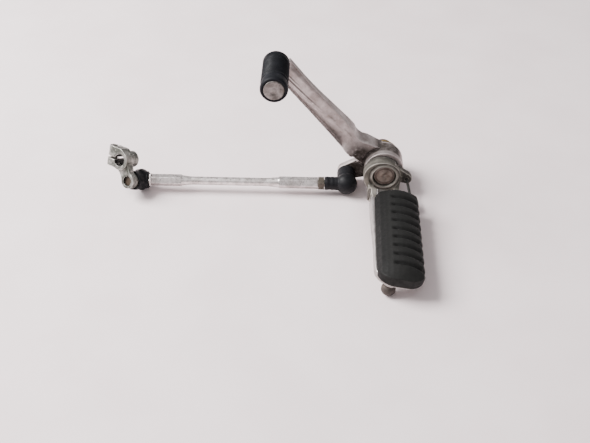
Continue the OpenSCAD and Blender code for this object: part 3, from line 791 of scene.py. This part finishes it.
# The path runs along the leg under the tray, round the coil and up to the lug
path = []
for k in range(push_steps):
    share = 1 - k / push_steps
    path.append(peg_point(coil_x, fold_at[1] - push_len * share, bottom_z + push_rise * share))
for k in range(coil_steps + 1):
    turn = turns * 2 * math.pi * k / coil_steps
    across = coil_x + coil_pitch * turns * k / coil_steps
    away, down = coil_r * math.sin(turn), coil_r * math.cos(turn)
    path.append(peg_point(across, fold_at[1] + away, fold_at[2] - down))
top = Vector(path[-1])
hook = peg_point(*peg_coords(np.array([lug_place]))[0])
for k in range(1, leg_steps + 1):
    path.append(top.lerp(hook, k / leg_steps))
spring = tube("spring_wire", path, wire_r * MM)
mask(spring, "grime_and_painted_shade", np.zeros(len(spring.data.vertices)))
spring.data.materials.append(LOOKS["spring_steel"])
shade_smooth(spring)
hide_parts("return_spring")
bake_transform(spring)

# ---- Footrest ----

tray = cast("peg_bar", "footrest_tray", 0.4, 2, 0.06, 4.0)
px, py, _ = peg_coords(points_of(tray)).T
mask(tray, "grime_and_painted_shade", smooth_step(py, -50, -45) * smooth_step(px, -7.5, -5) * 0.95)
dress(tray, "peg_bar")

# The pad's top falls at both ends, its near right corner bulges, and grooves cross its right side
foot = -3.0
end_fall, back_fall, end_bulge = 5.0, 0.4, 0.9
grooves, groove_first, groove_pitch, groove_deep = 9, 9.5, 9.75, 2.0

pad = rounded_copy("peg_rubber", "footrest_pad", 0.4, 6)
points = points_of(pad)
px, py, pz = peg_coords(points).T
pad_left, pad_right = px.min(), px.max()
pad_near, pad_far = py.min(), py.max()
share = (px - pad_left) / (pad_right - pad_left)
height = np.clip((pz - foot) / (pz.max() - foot), 0, 1)
near_fall = end_fall * np.clip(1 - (py - pad_near) / 17, 0, 1) ** 2
far_fall = back_fall * np.clip(1 - (pad_far - py) / 5, 0, 1) ** 2
points -= np.outer((near_fall + far_fall) * height * MM, peg_z)
bulge = end_bulge * np.clip(1 - (py - pad_near) / 12, 0, 1)
bulge *= smooth_step(share, 0.55, 1.0) * smooth_step(pz, foot, 0)
points += np.outer(bulge * MM, peg_x)
set_points(pad, points)
normals = normals_of(pad)
depth = np.zeros(len(points))
for k in range(grooves):
    line = pad_far - groove_first - groove_pitch * k + 0.8
    line = line - 3.2 * np.clip(share - 0.3, 0, 1) ** 1.5
    depth = np.maximum(depth, np.exp(-(np.abs(py - line) / 1.7) ** 2.4))
depth *= smooth_step(share, 0.27, 0.4) * smooth_step(pz, -2.4, -0.4)
points -= normals * (depth * groove_deep * MM)[:, None]
set_points(pad, points)
# Painted shade on the pad's left flank; darker in the grooves
flank = 1 - smooth_step(share, 0.1, 0.3)
mask(pad, "grime_and_painted_shade", np.maximum(depth * 0.9, 0.95 * flank))
dress(pad, "peg_rubber")

feeler = cast("bank_feeler", "bank_feeler_knob", 0.3, 3, 0.12, 2.0)
mask(feeler, "grime_and_painted_shade", np.zeros(len(feeler.data.vertices)))
dress(feeler, "bank_feeler")

# ---- Boots ----

boot = rounded_copy("rear_boot", "rear_boot_soft", 0.35, 6)
points = points_of(boot)
from_ball = (points - np.array(rear_ball)) / MM
fold = np.sin(from_ball[:, 0] * 1.5) * smooth_step(-from_ball[:, 0], 8.5, 10.5) * 0.12
lift = (wobble(points, 8, 2) * 0.15 + fold) * MM
set_points(boot, points + normals_of(boot) * lift[:, None])
mask(boot, "grime_and_painted_shade", np.zeros(len(points)))
dress(boot, "rear_boot")

boot = rounded_copy("front_boot", "front_boot_torn", 0.32, 5)
points = points_of(boot)
from_ball = (points - np.array(front_ball)) / MM
lift = wobble(points, 5, 5) * 0.25 + wobble(points, 2, 1) * 0.1
lip = smooth_step(from_ball[:, 0], 5.2, 6.4) * 0.9
twist = np.sin(from_ball[:, 0] * 1.1 + from_ball[:, 2] * 0.9) * 0.16
set_points(boot, points + normals_of(boot) * ((lift + twist) * MM)[:, None])
points = points_of(boot)
points[:, 1:] += lip[:, None] * from_ball[:, 1:] * 0.16 * MM
set_points(boot, points)
mask(boot, "grime_and_painted_shade", np.zeros(len(points)))
dress(boot, "front_boot")

# ---- Shift arm ----

bore_mount = next(m for m in frame["record"]["mounts"] if m["name"] == "shift_spline")
bore = Vector(bore_mount["pos_m"])
# How far behind the CAD's collar this one ends, in millimetres. Trust the CAD's.
collar_back = 2.8

arm = cast("shift_arm", "clamp_arm", 0.22, 4, 0.28, 3.2)
points = points_of(arm)
out = along_stud(points)
from_bore = from_stud_line(points, bore)
collar = (1 - smooth_step(out, 5.8, 7.0)) * (1 - smooth_step(from_bore, 7.5, 8.5))
set_points(arm, points - np.outer(collar * collar_back * MM, stud_axis))
# Painted shade inside the bore and in the boss's hole round the stud's end
in_bore = 1 - smooth_step(from_bore, 5.3, 6.2)
in_boss = 1 - smooth_step(from_stud_line(points, front_ball), 4.1, 4.8)
mask(arm, "grime_and_painted_shade", np.maximum(in_bore, in_boss))
dress(arm, "shift_arm")

# ---- Floor, light and camera ----

floor_z = -20 * MM
span = 1.6
corners = ((-span, -span), (span, -span), (span, 3 * span), (-span, 3 * span))
floor = mesh_object("floor", [(x, y, floor_z) for x, y in corners], [(0, 1, 2, 3)])
n = Nodes("pale_sheet")
tint = n.mix(n.ramp(n.noise(60, 3, 0.5), 0.3, 0.7), (0.80, 0.70, 0.705), (0.84, 0.745, 0.75))
floor.data.materials.append(n.finish(tint, 0.75, n.bump(n.noise(3, 2, 0.5), 0.1, 0.1), 0.0, 0.2))


def soft_light(name, place, target, size, power, colour):
    data = bpy.data.lights.new(name, "AREA")
    data.shape = "RECTANGLE"
    data.size = data.size_y = size
    data.energy = power
    data.color = colour
    light = bpy.data.objects.new(name, data)
    bpy.context.scene.collection.objects.link(light)
    light.location = place
    light.rotation_euler = (Vector(target) - Vector(place)).to_track_quat("-Z", "Y").to_euler()


aim = Vector((-0.06, -0.06, 0))
lamp_colour = (1.0, 0.985, 0.98)
soft_light("key", (-1.2, 0.02, 1.1), aim, 0.9, 88.0, lamp_colour)
soft_light("fill", (-0.5, -0.8, 1.0), aim, 1.0, 3.0, lamp_colour)

world = bpy.data.worlds.new("studio")
bpy.context.scene.world = world
world.use_nodes = True
background = world.node_tree.nodes["Background"]
background.inputs["Color"].default_value = (0.93, 0.91, 0.92, 1)
background.inputs["Strength"].default_value = 0.56

azimuth, elevation, roll = (math.radians(a) for a in (1.5, 38.7, 0.3))
camera_from_pivot = Vector((-57.1, -618.8, 429.3)) * MM
away = math.cos(elevation)
forward = Vector((-math.sin(azimuth) * away, math.cos(azimuth) * away, -math.sin(elevation)))
level = Vector((math.cos(azimuth), math.sin(azimuth), 0))
above = level.cross(forward)
right = level * math.cos(roll) + above * math.sin(roll)
top_of_view = right.cross(forward)
camera_data = bpy.data.cameras.new("camera")
camera_data.lens = 54.9
camera_data.sensor_width = 36
camera = bpy.data.objects.new("camera", camera_data)
bpy.context.scene.collection.objects.link(camera)
turned = Matrix((right, top_of_view, -forward)).transposed().to_4x4()
camera.matrix_world = Matrix.Translation(pivot + camera_from_pivot) @ turned
bpy.context.scene.camera = camera
